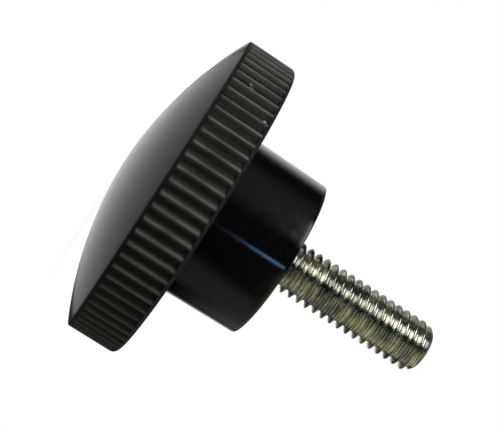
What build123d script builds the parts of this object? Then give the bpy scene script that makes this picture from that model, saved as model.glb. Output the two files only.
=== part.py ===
"""Knurled knob: a domed, fluted thumb knob moulded round a threaded steel stud."""
from build123d import *
import math
import os

# Driving dimensions, in millimetres. The origin is the centre of the hub's
# end face, and +Z runs out along the stud.

# Head
RIM_D = 47.6
HEAD_HEIGHT = 13.5
DOME_R = 52.0
CORNER_R = 0.9
DOME_CORNER_COUNT = 1
BACK_CORNER_COUNT = 3

# Ribs round the rim, and the flutes between them
RIB_COUNT = 80
RIB_LAND = 0.4
FLUTE_DEPTH = 0.45
FLANK_ANGLE = 40.0
PLAIN_BAND = 1.2

# Hub
HUB_LENGTH = 12.7
HUB_ROOT_D = 25.4
HUB_END_D = 25.0
HUB_EDGE_BEVEL = 0.2

# Stud
THREAD_D = 7.94
THREAD_PITCH = 25.4 / 18
STUD_LENGTH = 25.4
SHANK_DEPTH = 17.5
ANCHOR_FLATS = 12.7
ANCHOR_HEIGHT = 5.4
ANCHOR_CHAMFER = 0.6

# Ratios of a 60 degree thread: its depth and how far its pitch circle lies
# inside the crests, both for one millimetre of pitch
THREAD_DEPTH_RATIO = 0.61343
PITCH_LINE_RATIO = 0.64952

rim_r = RIM_D / 2
back_z = -HUB_LENGTH
crown_z = back_z - HEAD_HEIGHT
dome_centre_z = crown_z + DOME_R
thread_r = THREAD_D / 2
thread_depth = THREAD_DEPTH_RATIO * THREAD_PITCH
shank_r = (THREAD_D - PITCH_LINE_RATIO * THREAD_PITCH) / 2


def rounding(centre_z, start, end, flats):
    """Points of a rounded corner of the rim, which is cut as a few narrow flats.

    The angles are in radians, from straight down (0) over outwards to
    straight up (pi).
    """
    angles = [start + (end - start) * flat / flats for flat in range(flats + 1)]
    centre_r = rim_r - CORNER_R
    return [(centre_r + CORNER_R * math.sin(a), centre_z - CORNER_R * math.cos(a)) for a in angles]


def turned_blank():
    """Dome, plain rim and hub as one turned shape, before the flutes are cut."""
    # The dome's corner touches both the sphere and the rim's cylinder
    reach = DOME_R - CORNER_R
    meet = math.asin((rim_r - CORNER_R) / reach)
    dome_corner = rounding(dome_centre_z - reach * math.cos(meet), meet, math.pi / 2, DOME_CORNER_COUNT)
    back_corner = rounding(back_z - CORNER_R, math.pi / 2, math.pi, BACK_CORNER_COUNT)

    dome_middle = (DOME_R * math.sin(meet / 2), dome_centre_z - DOME_R * math.cos(meet / 2))
    dome = ThreePointArc((0, crown_z), dome_middle, dome_corner[0])
    hub_edge = (HUB_END_D / 2, 0)
    hub = (HUB_ROOT_D / 2, back_z), hub_edge, (0, 0)
    section = make_face(dome + Polyline(*dome_corner, *back_corner, *hub, (0, crown_z)))
    section = chamfer(section.vertices().sort_by_distance(hub_edge)[0], HUB_EDGE_BEVEL)
    return revolve(Plane.XZ * section, Axis.Z)


def flutes():
    """Cutters for the flutes: a flat floor and two flanks that open outwards.

    Each runs out through the dome's edge and stops short of the rim's back
    edge, where it leaves a plain band.
    """
    clear = 0.5
    half_opening = math.pi / RIB_COUNT - math.asin(RIB_LAND / 2 / rim_r)
    edge_x = rim_r * math.cos(half_opening)
    edge_y = rim_r * math.sin(half_opening)
    slope = math.tan(math.radians(FLANK_ANGLE))

    floor_x = rim_r - FLUTE_DEPTH
    outer_x = rim_r + clear
    floor_y = edge_y - slope * (edge_x - floor_x)
    outer_y = edge_y + slope * (outer_x - edge_x)
    corners = (outer_x, -outer_y), (floor_x, -floor_y), (floor_x, floor_y), (outer_x, outer_y)
    section = make_face(Polyline(*corners, close=True))

    start_z = crown_z - clear
    end_z = back_z - PLAIN_BAND
    cutter = extrude(Pos(0, 0, start_z) * section, end_z - start_z)
    step = 360 / RIB_COUNT
    return [Rot(0, 0, step * (rib + 0.5)) * cutter for rib in range(RIB_COUNT)]


def stud():
    """Steel stud: chamfered thread cylinder, its run-out, and the end cast in."""
    thread = Pos(0, 0, STUD_LENGTH / 2) * Cylinder(thread_r, STUD_LENGTH)
    thread = chamfer(thread.edges().sort_by(Axis.Z)[-1], thread_depth)
    run_out = thread_r - shank_r
    neck = Pos(0, 0, -run_out / 2) * Cone(shank_r, thread_r, run_out)
    shank = Pos(0, 0, -SHANK_DEPTH / 2) * Cylinder(shank_r, SHANK_DEPTH)
    flats = RegularPolygon(ANCHOR_FLATS / 2, 6, major_radius=False)
    anchor = extrude(Pos(0, 0, -SHANK_DEPTH) * flats, ANCHOR_HEIGHT)
    anchor = chamfer(anchor.edges().group_by(Axis.Z)[0], ANCHOR_CHAMFER)
    return thread + neck + shank + anchor


def knob_body(stud_shape):
    """The one-piece moulding, with the hollow that the stud fills."""
    return turned_blank() - flutes() - stud_shape


def main():
    os.makedirs("parts", exist_ok=True)
    stud_shape = stud()
    pieces = {"knob_body": knob_body(stud_shape), "threaded_stud": stud_shape}
    for name, shape in pieces.items():
        export_step(shape, os.path.join("parts", name + ".step"))


main()
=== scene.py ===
"""Looks of the knurled knob: black phenolic moulding on a zinc-plated stud."""
import math

import bmesh
import bpy
from mathutils import Matrix, Vector

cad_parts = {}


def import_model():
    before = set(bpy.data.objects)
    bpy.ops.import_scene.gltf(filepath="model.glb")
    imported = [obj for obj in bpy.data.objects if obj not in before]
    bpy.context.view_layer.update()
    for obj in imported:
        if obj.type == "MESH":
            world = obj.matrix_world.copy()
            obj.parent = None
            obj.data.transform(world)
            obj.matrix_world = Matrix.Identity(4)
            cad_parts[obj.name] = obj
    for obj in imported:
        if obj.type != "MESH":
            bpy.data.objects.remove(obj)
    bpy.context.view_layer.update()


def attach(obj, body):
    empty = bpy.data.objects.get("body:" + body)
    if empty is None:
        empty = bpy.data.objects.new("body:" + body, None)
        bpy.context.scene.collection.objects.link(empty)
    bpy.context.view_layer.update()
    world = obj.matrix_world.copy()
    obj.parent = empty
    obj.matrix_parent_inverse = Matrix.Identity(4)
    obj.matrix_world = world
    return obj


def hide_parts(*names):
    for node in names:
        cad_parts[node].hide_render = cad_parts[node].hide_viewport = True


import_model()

MM = 0.001

# Head, in millimetres in the row frame: crown down, stud up
RIM_R = 23.8
DOME_R = 52.0
BACK_Z = -12.7
CROWN_Z = -26.2
DOME_CENTRE_Z = CROWN_Z + DOME_R
# Rounding of the rim's two edges, at the back and at the dome
CORNER_R = 0.9
DOME_CORNER_R = 0.45
# Plain lip of the rim behind the dome, and plain band at the back edge
LIP_INSET = 0.01
LIP_END = 0.4
FLUTE_STOP = 0.55
# How the flutes begin behind the lip: distance, share of their depth, and share of the pale crest paint,
# which is partly wear and partly painted light against painted shade in the flutes
FLUTE_HEAD = ((0, 0, 0), (0.05, 0.5, 0.1), (0.2, 0.95, 0.6), (LIP_END, 1, 1))

# Ribs and flutes
RIB_COUNT = 80
RIB_LAND = 0.2
RIB_SHOULDER_R = 0.25
FLUTE_DEPTH = 0.45

# Hub
HUB_ROOT_R = 12.7
HUB_END_R = 12.5
HUB_EDGE_R = 0.25
HUB_FILLET_R = 0.4

# Stud
THREAD_R = 3.97
THREAD_PITCH = 25.4 / 18
THREAD_DEPTH = 0.61343 * THREAD_PITCH
STUD_TOP = 25.4
STUD_BURIED = 1.5
STUD_SEAT_R = 3.06
THREAD_PHASE = 0.15
THREAD_COLUMNS = 128

# Vertices of the plain rings: three to a rib, a fifth of the rim's columns
COARSE = 240
# Where those rings lie on the dome (radius) and the hub (height), and where the columns begin
DOME_RINGS = (4, 7, 10, 13, 16, 19, 21.5, 22.8)
HUB_RINGS = (-12, -11.5, -8, -4, -1, -0.5)
EDGE_R = 23.1

# Wear and painted light of the rim: the crests' paler colour, partly rubbed wear and partly painted light
# on the crests, and how fast it fades down the flanks to flute floors left darker as painted shade
WORN_AND_LIT_CREST_COLOUR = (0.069, 0.069, 0.054)
WEAR_AND_SHADE_FADE = 1.7
# Nicks in the rim that show paler: place, radius and how pale
NICKS = (
    ((-17.40, -15.64, -17.6), 0.30, 0.07),
    ((-17.1, -16.05, -17.3), 0.30, 0.08),
    ((-14.24, -18.69, -13.76), 0.30, 0.25),
)

# The fitted view, in camera coordinates: x right, y down, z ahead
FOCAL_PX = 979.44
IMAGE_WIDTH = 500
SENSOR = 36.0
HUB_AT = (4.060, 6.494, 142.454)
AXIS_TURN = 32.909
AXIS_TILT = 6.253
ROW_X_AT = 181.0

# Lamps: place, side and watts, and the point that both face. The key lamp's
# place is its distance from the axis, its angle as in the studio set below and its height.
KEY_AT, KEY_SIDE, KEY_POWER = (400, 28, 100), 200, 2.1
TOP_AT, TOP_SIDE, TOP_POWER = (60, -80, 450), 300, 0.5
LAMP_TARGET = (0, 0, -8)
AMBIENT = 0.2
FLOOR_HALF = 3000
FLOOR_GLOW = 0.93

# Studio set. Angles are in degrees about the stud's axis: 0 is the photograph's
# upper side of the rim, 90 faces the camera and 180 is its lower side.
SET_COLUMNS = 120
SET_START = -80
WALL_R = 600
WALL_TOP = 900
# Cards on the wall at three heights: their two ends, how far they fade out, strength and tint
WHITE = (1, 1, 1)
WARM = (1, 0.9, 0.84)
COOL = (0.92, 1, 0.97)
OLIVE = (1, 0.96, 0.70)
FOOT_CARDS = ((262, 302, 30, 1.0, WHITE), (20, 32, 40, 0.18, WARM), (155, 178, 26, 0.20, COOL))
LOW_CARDS = ((262, 302, 30, 1.0, WHITE), (20, 32, 40, 0.20, WARM), (168, 218, 30, 0.27, COOL))
HIGH_CARDS = ((262, 350, 24, 0.14, WHITE), (28, 52, 11, 3.2, WHITE), (112, 215, 20, 0.5, OLIVE))
FOOT_TO, LOW_FROM, LOW_TO, HIGH_FROM = 50, 100, 118, 135
WALL_REST = 0.012
CEILING = 0.22
# The card that the knob lies on: its rings, and distance and strength where its fade starts and ends
CARD_RINGS = (1, 6, 10, 14, 18, 22, 26, 30, 34, 50, 70, WALL_R)
CARD_LIFT = 0.02
CARD_NEAR = (9, 1.0)
CARD_FAR = (24, 0.42)
# A narrow blue lamp before the wall that widens upwards: height, two ends and strength
STREAK_R = 550
STREAK = ((50, 94.2, 94.8, 0.3), (76, 93.8, 95.4, 1.0), (85, 92.9, 96.2, 5.2), (120, 92.8, 96.5, 5.2))
STREAK_COLOUR = (0.24, 0.56, 1.0)


def point(radius, angle, z):
    """A place in metres, from a distance from the axis, an angle in radians and a height."""
    return radius * math.cos(angle) * MM, radius * math.sin(angle) * MM, z * MM


def seen_angle(degrees):
    """The row frame's angle, in radians, of an angle counted from the photograph's upper side."""
    return math.radians(degrees - ROW_X_AT)


def new_object(name, data):
    """An object in the scene's collection."""
    obj = bpy.data.objects.new(name, data)
    bpy.context.scene.collection.objects.link(obj)
    return obj


def ring(bm, radius, z):
    """A plain circle of vertices about the axis."""
    step = 2 * math.pi / COARSE
    return [bm.verts.new(point(radius, step * i, z)) for i in range(COARSE)]


def bridge(bm, a, b, material):
    """Faces between two closed rings, of which one may have a multiple of the other's vertices."""
    if len(a) > len(b):
        a, b = b, a
    ratio = len(b) // len(a)
    for i in range(len(a)):
        inner = [a[i], a[(i + 1) % len(a)]]
        outer = [b[(ratio * i + k) % len(b)] for k in range(ratio + 1)]
        face = bm.faces.new(inner + outer[::-1])
        face.material_index = material
        face.smooth = True


def cap(bm, loop, z, material):
    """Closes a ring with a fan about a point on the axis."""
    centre = bm.verts.new((0, 0, z * MM))
    for i in range(len(loop)):
        face = bm.faces.new((loop[i], loop[(i + 1) % len(loop)], centre))
        face.material_index = material
        face.smooth = True


def finish_mesh(bm, name, materials, sharp_deg):
    """Turns a bmesh into an object that rides on the knob's only body."""
    bmesh.ops.remove_doubles(bm, verts=bm.verts, dist=1e-7)
    bmesh.ops.recalc_face_normals(bm, faces=bm.faces)
    mesh = bpy.data.meshes.new(name)
    bm.to_mesh(mesh)
    bm.free()
    for material in materials:
        mesh.materials.append(material)
    mesh.set_sharp_from_angle(angle=math.radians(sharp_deg))
    obj = new_object(name, mesh)
    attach(obj, "root")
    return obj


def rib_columns():
    """Angle and radius of every column of the fluted rim: crest, shoulder, hollow, shoulder."""
    half_pitch = math.pi / RIB_COUNT
    half_land = RIB_LAND / 2
    crest_r = math.sqrt(RIM_R**2 - half_land**2) - math.sqrt(RIB_SHOULDER_R**2 - half_land**2)
    floor_r = RIM_R - FLUTE_DEPTH
    span = crest_r**2 + floor_r**2 - 2 * crest_r * floor_r * math.cos(half_pitch)
    reach = 2 * (floor_r - crest_r * math.cos(half_pitch) - RIB_SHOULDER_R)
    hollow_r = (RIB_SHOULDER_R**2 - span) / reach
    hollow_centre = floor_r + hollow_r

    # Angle of the line of centres, seen from the crest's centre
    run = hollow_centre * math.cos(half_pitch) - crest_r
    lean = math.atan2(hollow_centre * math.sin(half_pitch), run)
    land = math.asin(half_land / RIB_SHOULDER_R)
    half = []
    for i in range(5):
        turn = land + (lean - land) * i / 4
        x = crest_r + RIB_SHOULDER_R * math.cos(turn)
        y = RIB_SHOULDER_R * math.sin(turn)
        half.append((math.atan2(y, x), math.hypot(x, y)))
    sweep = lean + half_pitch
    middle = []
    for i in range(1, 6):
        turn = -sweep + 2 * sweep * i / 6
        x = hollow_centre - hollow_r * math.cos(turn)
        y = hollow_r * math.sin(turn)
        middle.append((half_pitch + math.atan2(y, x), math.hypot(x, y)))
    back = [(2 * half_pitch - angle, radius) for angle, radius in half[::-1]]
    period = half + middle + back
    return [(2 * half_pitch * rib + angle, radius) for rib in range(RIB_COUNT) for angle, radius in period]


def head_body(materials):
    """The one-piece moulding: dome, fluted rim with blunt flute ends, back and hub."""
    bm = bmesh.new()
    wear_and_shade = bm.verts.layers.float.new("wear_and_shade")
    dome, rim, hub = 0, 1, 2
    columns = rib_columns()
    floor_r = RIM_R - FLUTE_DEPTH

    def row(points, crest_paint_share=0.0):
        """One vertex on each column; the last argument is how much the crests are painted pale here, partly
        as wear and partly as painted light, with the flute floors left darker as painted shade.
        """
        made = []
        for (angle, column_r), (r, z) in zip(columns, points):
            vertex = bm.verts.new(point(r, angle, z))
            # Paler towards the crests and darker towards the flute floors: partly wear, partly painted
            # light and painted shade
            vertex[wear_and_shade] = crest_paint_share * ((column_r - floor_r) / FLUTE_DEPTH) ** WEAR_AND_SHADE_FADE
            made.append(vertex)
        return made

    def join(current, material):
        """Faces from the last ring or row to this one."""
        nonlocal previous
        bridge(bm, previous, current, material)
        previous = current

    def dome_z(radius):
        return DOME_CENTRE_Z - math.sqrt(DOME_R**2 - radius**2)

    # The blank's outline: dome, then a rounded corner tangent to dome and rim
    inner_r = RIM_R - DOME_CORNER_R
    corner_z = DOME_CENTRE_Z - math.sqrt((DOME_R - DOME_CORNER_R) ** 2 - inner_r**2)
    touch_r = DOME_R * inner_r / (DOME_R - DOME_CORNER_R)

    def blank_z(radius):
        if radius <= touch_r:
            return dome_z(radius)
        return corner_z - math.sqrt(max(0, DOME_CORNER_R**2 - (radius - inner_r) ** 2))

    previous = ring(bm, 1.5, dome_z(1.5))
    cap(bm, previous, CROWN_Z, dome)
    for radius in DOME_RINGS:
        join(ring(bm, radius, dome_z(radius)), dome)

    # A narrow plain lip, with the flutes blunt behind it
    lip_r, steps = RIM_R - LIP_INSET, 8
    for i in range(steps + 1):
        radius = EDGE_R + (lip_r - EDGE_R) * math.sin(math.pi / 2 * i / steps)
        join(row([(radius, blank_z(radius))] * len(columns)), dome if i <= steps / 2 else rim)
    for drop, depth, crest_paint_share in FLUTE_HEAD:
        join(row([(lip_r + (r - lip_r) * depth, corner_z + drop) for _, r in columns], crest_paint_share), rim)
    flute_start = corner_z + LIP_END
    back_r, back_start = RIM_R - CORNER_R, BACK_Z - CORNER_R
    for share in (0.5, 1):
        z = flute_start + (back_start - flute_start) * share
        join(row([(r, z) for _, r in columns], 1.0), rim)

    # The flutes run a little way into the back rounding and end blunt there
    def back_corner(turn):
        return back_r + CORNER_R * math.cos(turn), back_start + CORNER_R * math.sin(turn)

    stop = math.asin((CORNER_R - FLUTE_STOP) / CORNER_R)
    for turn in (0.5 * stop, stop):
        limit, level = back_corner(turn)
        join(row([(min(r, limit), level - 0.2 * max(0, limit - r)) for _, r in columns], 1.0), rim)
    for i in range(6):
        turn = stop + (math.pi / 2 - stop) * i / 5
        join(row([back_corner(turn)] * len(columns)), rim)

    # Back face, hub and the seat of the stud
    profile = [(21.5, BACK_Z), (17.0, BACK_Z)]
    for i in range(5):
        turn = math.pi / 2 * i / 4
        out, up = HUB_FILLET_R * (1 - math.sin(turn)), HUB_FILLET_R * (1 - math.cos(turn))
        profile.append((HUB_ROOT_R + out, BACK_Z + up))
    for z in HUB_RINGS:
        profile.append((HUB_END_R + (HUB_ROOT_R - HUB_END_R) * z / BACK_Z, z))
    for i in range(6):
        turn = math.pi / 2 * i / 5
        inset, drop = HUB_EDGE_R * (1 - math.cos(turn)), HUB_EDGE_R * (1 - math.sin(turn))
        profile.append((HUB_END_R - inset, -drop))
    profile += [(8, 0), (STUD_SEAT_R, 0), (STUD_SEAT_R, -STUD_BURIED)]
    for radius, z in profile:
        join(ring(bm, radius, z), hub)
    cap(bm, previous, -STUD_BURIED, hub)
    return finish_mesh(bm, "moulded_body", materials, 32)


def thread_profile():
    """One pitch of a 60 degree thread, as shares of the pitch along and of the depth inwards."""
    crest, root = 1 / 16, 1 / 8
    points = [(-crest, 0.03), (-crest * 0.6, 0), (crest * 0.6, 0), (crest, 0.03)]
    for share in (0.33, 0.66):
        points.append((crest + (0.5 - root - crest) * share, share * 0.94 + 0.02))
    points += [(0.5 - root, 0.93), (0.5 - root * 0.45, 0.99), (0.5 + root * 0.45, 0.99), (0.5 + root, 0.93)]
    for share in (0.66, 0.33):
        points.append((1 - crest - (0.5 - root - crest) * share, share * 0.94 + 0.02))
    return points


def thread_line(share):
    """Height and radius of the thread's points at a share of a turn, cut at the stud's two ends."""
    low, high = -STUD_BURIED, STUD_TOP
    turns = math.ceil((high - low) / THREAD_PITCH) + 3
    line = []
    for turn in range(-2, turns):
        for along, depth in thread_profile():
            z = low + THREAD_PITCH * (turn + along + share + THREAD_PHASE)
            line.append((z, THREAD_R - THREAD_DEPTH * depth))

    def cut(inside, outside, z):
        (z0, r0), (z1, r1) = line[inside], line[outside]
        return z, r0 + (r1 - r0) * (z - z0) / (z1 - z0)

    kept = [i for i, (z, _) in enumerate(line) if low <= z <= high]
    first, last = kept[0], kept[-1]
    below = [cut(first, first - 1, low)] * first
    above = [cut(last, last + 1, high)] * (len(line) - 1 - last)
    return below + line[first : last + 1] + above


def threaded_stud(material):
    """The stud's real helix, inside the solid's envelope, with the chamfered tip."""
    bm = bmesh.new()
    root_r = THREAD_R - THREAD_DEPTH
    grid = []
    for c in range(THREAD_COLUMNS):
        angle = 2 * math.pi * c / THREAD_COLUMNS
        line = [(min(r, root_r + (STUD_TOP - z)), z) for z, r in thread_line(c / THREAD_COLUMNS)]
        grid.append([bm.verts.new(point(r, angle, z)) for r, z in line])
    for c in range(THREAD_COLUMNS):
        here, there = grid[c], grid[(c + 1) % THREAD_COLUMNS]
        # The last column joins the first one pitch higher
        shift = len(thread_profile()) if c + 1 == THREAD_COLUMNS else 0
        for i in range(len(here) - 1 - shift):
            face = bm.faces.new((here[i], here[i + 1], there[i + 1 + shift], there[i + shift]))
            face.smooth = True
    cap(bm, [line[-1] for line in grid], STUD_TOP, 0)
    return finish_mesh(bm, "stud_thread", [material], 28)


def new_material(name, **values):
    """A Principled material with constants on its own sockets."""
    material = bpy.data.materials.new(name)
    material.use_nodes = True
    shader = material.node_tree.nodes["Principled BSDF"]
    for socket, value in values.items():
        shader.inputs[socket.replace("_", " ")].default_value = value
    return material, material.node_tree, shader


def add(tree, kind, **values):
    """A node with some of its inputs set by name."""
    node = tree.nodes.new(kind)
    for socket, value in values.items():
        node.inputs[socket.replace("_", " ")].default_value = value
    return node


def remap(tree, value, source, target):
    """A value moved from one range to another, and held inside it."""
    node = tree.nodes.new("ShaderNodeMapRange")
    ends = ("From Min", "From Max", "To Min", "To Max")
    for name, end in zip(ends, (*source, *target)):
        node.inputs[name].default_value = end
    tree.links.new(value, node.inputs["Value"])
    return node.outputs["Result"]


def grain(tree, shader, scale, span, rough, colours, bump, bump_scale, along=1):
    """Noise-driven colour and roughness, and a fine bump, all in object space.

    The noise between the two values of span runs through the two roughnesses
    and colours. A value of along above 1 draws it out round the axis.
    """
    object_space = tree.nodes.new("ShaderNodeTexCoord").outputs["Object"]
    drawn = add(tree, "ShaderNodeMapping", Scale=(1, 1, along))
    tree.links.new(object_space, drawn.inputs["Vector"])
    place = drawn.outputs["Vector"]
    noise = add(tree, "ShaderNodeTexNoise", Scale=scale, Detail=6, Roughness=0.6)
    tree.links.new(place, noise.inputs["Vector"])
    tree.links.new(remap(tree, noise.outputs["Fac"], span, rough), shader.inputs["Roughness"])
    tint = tree.nodes.new("ShaderNodeValToRGB")
    for element, position, colour in zip(tint.color_ramp.elements, span, colours):
        element.position = position
        element.color = (*colour, 1)
    tree.links.new(noise.outputs["Fac"], tint.inputs["Fac"])
    tree.links.new(tint.outputs["Color"], shader.inputs["Base Color"])
    fine = add(tree, "ShaderNodeTexNoise", Scale=bump_scale, Detail=3)
    tree.links.new(place, fine.inputs["Vector"])
    lift = add(tree, "ShaderNodeBump", Strength=bump, Distance=0.00005)
    tree.links.new(fine.outputs["Fac"], lift.inputs["Height"])
    tree.links.new(lift.outputs["Normal"], shader.inputs["Normal"])
    return tint.outputs["Color"]


def crest_wear_and_painted_shade(tree, shader, colour):
    """Paints the rib crests pale and unevenly, where the mesh says so, partly as rubbed wear and partly as
    painted light, so that the flute floors stay darker as painted shade, and adds the nicks.
    """
    place = tree.nodes.new("ShaderNodeTexCoord").outputs["Object"]
    wear_and_shade = tree.nodes.new("ShaderNodeAttribute")
    wear_and_shade.attribute_name = "wear_and_shade"
    patches = add(tree, "ShaderNodeTexNoise", Scale=260, Detail=3)
    tree.links.new(place, patches.inputs["Vector"])
    rubbed_and_shaded = tree.nodes.new("ShaderNodeMath")
    rubbed_and_shaded.operation = "MULTIPLY"
    tree.links.new(wear_and_shade.outputs["Fac"], rubbed_and_shaded.inputs[0])
    tree.links.new(remap(tree, patches.outputs["Fac"], (0.35, 0.6), (0.55, 1.0)), rubbed_and_shaded.inputs[1])
    # The crest colour is partly wear and partly painted light; the flutes left darker are painted shade
    layers = [(rubbed_and_shaded.outputs[0], WORN_AND_LIT_CREST_COLOUR)]
    for at, radius, pale in NICKS:
        away = tree.nodes.new("ShaderNodeVectorMath")
        away.operation = "DISTANCE"
        away.inputs[1].default_value = [value * MM for value in at]
        tree.links.new(place, away.inputs[0])
        spot = remap(tree, away.outputs["Value"], (radius * MM, radius * MM / 2), (0, 1))
        layers.append((spot, (pale, pale * 0.97, pale * 0.82)))
    for factor, paint in layers:
        mix = tree.nodes.new("ShaderNodeMix")
        mix.data_type = "RGBA"
        mix.inputs["B"].default_value = (*paint, 1)
        tree.links.new(factor, mix.inputs["Factor"])
        tree.links.new(colour, mix.inputs["A"])
        colour = mix.outputs["Result"]
    tree.links.new(colour, shader.inputs["Base Color"])


def body_materials():
    """Dome, rim and hub: one plastic, satin on the dome, duller on the ribs, glossy on the hub."""
    span = (0.35, 0.65)
    dome, tree, shader = new_material("phenolic_dome", Specular_IOR_Level=0.25)
    colours = ((0.004, 0.004, 0.0036), (0.006, 0.006, 0.0055))
    grain(tree, shader, 900, span, (0.14, 0.20), colours, bump=0.08, bump_scale=4000)
    rim, tree, shader = new_material("phenolic_rim", Specular_IOR_Level=0.18)
    colours = ((0.005, 0.005, 0.0048), (0.009, 0.009, 0.008))
    colour = grain(tree, shader, 1500, span, (0.38, 0.50), colours, bump=0.3, bump_scale=6000)
    crest_wear_and_painted_shade(tree, shader, colour)
    hub, tree, shader = new_material("phenolic_hub", Specular_IOR_Level=0.5)
    colours = ((0.0012, 0.0012, 0.0012), (0.002, 0.002, 0.002))
    grain(tree, shader, 700, span, (0.08, 0.12), colours, bump=0.04, bump_scale=3000)
    return [dome, rim, hub]


def stud_material():
    """Bright zinc plating with a faint yellow and blue tint."""
    zinc, tree, shader = new_material("zinc_plating", Metallic=1.0)
    colours = ((0.32, 0.35, 0.32), (0.88, 0.85, 0.70))
    grain(tree, shader, 260, (0.42, 0.58), (0.10, 0.26), colours, bump=0.35, bump_scale=2500, along=4)
    return zinc


def white_to_viewer(tree, output, lit):
    """White to the camera and in reflections; everything else keeps the given shader."""
    path = tree.nodes.new("ShaderNodeLightPath")
    seen = path.outputs["Is Camera Ray"]
    for ray in ("Is Glossy Ray", "Is Transmission Ray"):
        either = tree.nodes.new("ShaderNodeMath")
        either.operation = "MAXIMUM"
        tree.links.new(seen, either.inputs[0])
        tree.links.new(path.outputs[ray], either.inputs[1])
        seen = either.outputs[0]
    mix = tree.nodes.new("ShaderNodeMixShader")
    tree.links.new(seen, mix.inputs["Fac"])
    tree.links.new(lit, mix.inputs[1])
    tree.links.new(mix.outputs[0], output)
    return mix.inputs[2]


def world():
    """White background with a plain soft light behind it."""
    scene_world = bpy.data.worlds.new("studio")
    bpy.context.scene.world = scene_world
    scene_world.use_nodes = True
    tree = scene_world.node_tree
    soft = tree.nodes["Background"]
    soft.inputs["Color"].default_value = (1, 1, 1, 1)
    soft.inputs["Strength"].default_value = AMBIENT
    white = add(tree, "ShaderNodeBackground", Color=(1, 1, 1, 1), Strength=1.0)
    slot = white_to_viewer(tree, tree.nodes["World Output"].inputs["Surface"], soft.outputs[0])
    tree.links.new(white.outputs[0], slot)


def floor():
    """Pale floor under the crown: it clips to white where it is lit, and keeps the shadow."""
    mesh = bpy.data.meshes.new("floor")
    half, z = FLOOR_HALF * MM, CROWN_Z * MM
    corners = [(-half, -half, z), (half, -half, z), (half, half, z), (-half, half, z)]
    mesh.from_pydata(corners, [], [(0, 1, 2, 3)])
    new_object("floor", mesh)
    values = {"Base_Color": (0.85, 0.85, 0.85, 1), "Roughness": 0.9, "Specular_IOR_Level": 0.0}
    material, tree, shader = new_material("floor_white", **values)
    glow = add(tree, "ShaderNodeEmission", Color=(1, 1, 1, 1), Strength=FLOOR_GLOW)
    both = tree.nodes.new("ShaderNodeAddShader")
    tree.links.new(shader.outputs[0], both.inputs[0])
    tree.links.new(glow.outputs[0], both.inputs[1])
    slot = white_to_viewer(tree, tree.nodes["Material Output"].inputs["Surface"], shader.outputs[0])
    tree.links.new(both.outputs[0], slot)
    mesh.materials.append(material)


def area_light(name, place, side, power):
    """A soft square lamp that faces the knob and isn't seen in its gloss."""
    data = bpy.data.lights.new(name, "AREA")
    data.shape = "SQUARE"
    data.size = side * MM
    data.energy = power
    obj = new_object(name, data)
    at = Vector(place) * MM
    obj.matrix_world = (Vector(LAMP_TARGET) * MM - at).to_track_quat("-Z", "Y").to_matrix().to_4x4()
    obj.location = at
    obj.visible_glossy = False


def lights():
    """Plain soft light from above in the photograph, and from above the standing knob."""
    distance, degrees, height = KEY_AT
    angle = seen_angle(degrees)
    place = (distance * math.cos(angle), distance * math.sin(angle), height)
    area_light("key", place, KEY_SIDE, KEY_POWER)
    area_light("top", TOP_AT, TOP_SIDE, TOP_POWER)


def soft_card(card, at):
    """Strength of a card with soft ends at an angle about the axis."""
    start, end, fade, strength, _ = card
    away = abs((at - (start + end) / 2 + 180) % 360 - 180) - (end - start) / 2
    share = min(1, max(0, 1 - away / fade))
    return strength * share * share * (3 - 2 * share)


def wall_colour(at, z=0):
    """Light of the wall at an angle about the axis and a height: that of its strongest card."""
    cards = FOOT_CARDS if z <= FOOT_TO else LOW_CARDS if z <= LOW_TO else HIGH_CARDS
    level, tint = max(((soft_card(card, at), card[4]) for card in cards), key=lambda pair: pair[0])
    return [max(WALL_REST, level * share) for share in tint]


def card_colour(radius, at):
    """Light of the floor card: pale at the crown, grey under the rim, as the wall further out."""
    (near, high), (far, low) = CARD_NEAR, CARD_FAR
    if radius < 30:
        share = min(1, max(0, (radius - near) / (far - near)))
        return [high + (low - high) * share] * 3
    return [max(0.03, value * (1 if radius < 60 else 0.3)) for value in wall_colour(at)]


def glow_mesh(name, corners, faces, colours):
    """A studio surface that glows as its corners say and is seen only in reflections."""
    mesh = bpy.data.meshes.new(name)
    mesh.from_pydata(corners, [], faces)
    layer = mesh.color_attributes.new("glow", "FLOAT_COLOR", "POINT")
    for i, colour in enumerate(colours):
        layer.data[i].color = (*colour, 1)
    obj = new_object(name, mesh)
    material = bpy.data.materials.new(name)
    material.use_nodes = True
    tree = material.node_tree
    tree.nodes.remove(tree.nodes["Principled BSDF"])
    paint = tree.nodes.new("ShaderNodeAttribute")
    paint.attribute_name = "glow"
    glow = add(tree, "ShaderNodeEmission", Strength=1.0)
    tree.links.new(paint.outputs["Color"], glow.inputs["Color"])
    tree.links.new(glow.outputs[0], tree.nodes["Material Output"].inputs["Surface"])
    mesh.materials.append(material)
    for ray in ("camera", "diffuse", "transmission", "shadow", "volume_scatter"):
        setattr(obj, "visible_" + ray, False)


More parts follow.
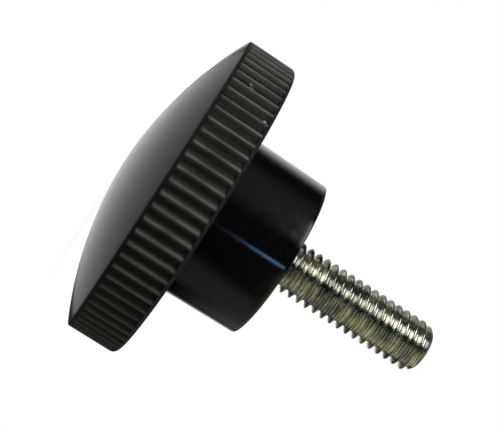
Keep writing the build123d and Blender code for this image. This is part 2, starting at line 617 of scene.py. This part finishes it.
def studio_set():
    """What the gloss sees round the object: a pale card on the floor, walls and a ceiling."""
    card_z = CROWN_Z + CARD_LIFT
    rings = [(r, card_z, "card") for r in CARD_RINGS]
    rings += [(WALL_R, z, "wall") for z in (card_z, FOOT_TO, LOW_FROM, LOW_TO, HIGH_FROM, WALL_TOP)]
    rings += [(r, WALL_TOP, "ceiling") for r in (WALL_R, 1)]
    corners, colours = [], []
    for radius, z, kind in rings:
        for i in range(SET_COLUMNS):
            at = SET_START + 360 * i / SET_COLUMNS
            corners.append(point(radius, seen_angle(at), z))
            if kind == "card":
                colours.append(card_colour(radius, at))
            elif kind == "wall":
                colours.append(wall_colour(at, z))
            else:
                colours.append([CEILING] * 3)
    faces = []
    for k in range(len(rings) - 1):
        for i in range(SET_COLUMNS):
            j = (i + 1) % SET_COLUMNS
            low, high = k * SET_COLUMNS, (k + 1) * SET_COLUMNS
            faces.append((low + i, low + j, high + j, high + i))
    glow_mesh("studio_set", corners, faces, colours)


def studio_streak():
    """The narrow blue lamp whose reflection runs along the hub."""
    corners, colours = [], []
    for z, start, end, strength in STREAK:
        for at in (start, end):
            corners.append(point(STREAK_R, seen_angle(at), z))
            colours.append([c * strength for c in STREAK_COLOUR])
    faces = [(2 * k, 2 * k + 1, 2 * k + 3, 2 * k + 2) for k in range(len(STREAK) - 1)]
    glow_mesh("studio_streak", corners, faces, colours)


def view_axes():
    """Row axes in camera coordinates, as a matrix that takes camera vectors to the row frame."""
    turn, tilt, roll = (math.radians(v) for v in (AXIS_TURN, AXIS_TILT, ROW_X_AT))
    axis = Vector((math.cos(tilt) * math.cos(turn), math.cos(tilt) * math.sin(turn), math.sin(tilt)))
    first = axis.cross(Vector((0, 0, 1))).normalized()
    second = axis.cross(first)
    x_axis = first * math.cos(roll) + second * math.sin(roll)
    return Matrix((x_axis, axis.cross(x_axis), axis))


def camera():
    """The photograph's camera."""
    to_row = view_axes()
    data = bpy.data.cameras.new("camera")
    data.sensor_width = SENSOR
    data.sensor_fit = "HORIZONTAL"
    data.lens = FOCAL_PX * SENSOR / IMAGE_WIDTH
    data.clip_start = 0.005
    data.clip_end = 20
    obj = new_object("camera", data)
    place = to_row @ -Vector(HUB_AT) * MM
    right, up, back = (to_row @ Vector(v) for v in ((1, 0, 0), (0, -1, 0), (0, 0, -1)))
    turned = Matrix((right, up, back)).transposed().to_4x4()
    turned.translation = place
    obj.matrix_world = turned
    bpy.context.scene.camera = obj


body = head_body(body_materials())
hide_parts("knob_body")
stud = threaded_stud(stud_material())
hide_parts("threaded_stud")

floor()
world()
camera()
lights()
studio_set()
studio_streak()
bpy.context.scene.view_settings.view_transform = "Standard"
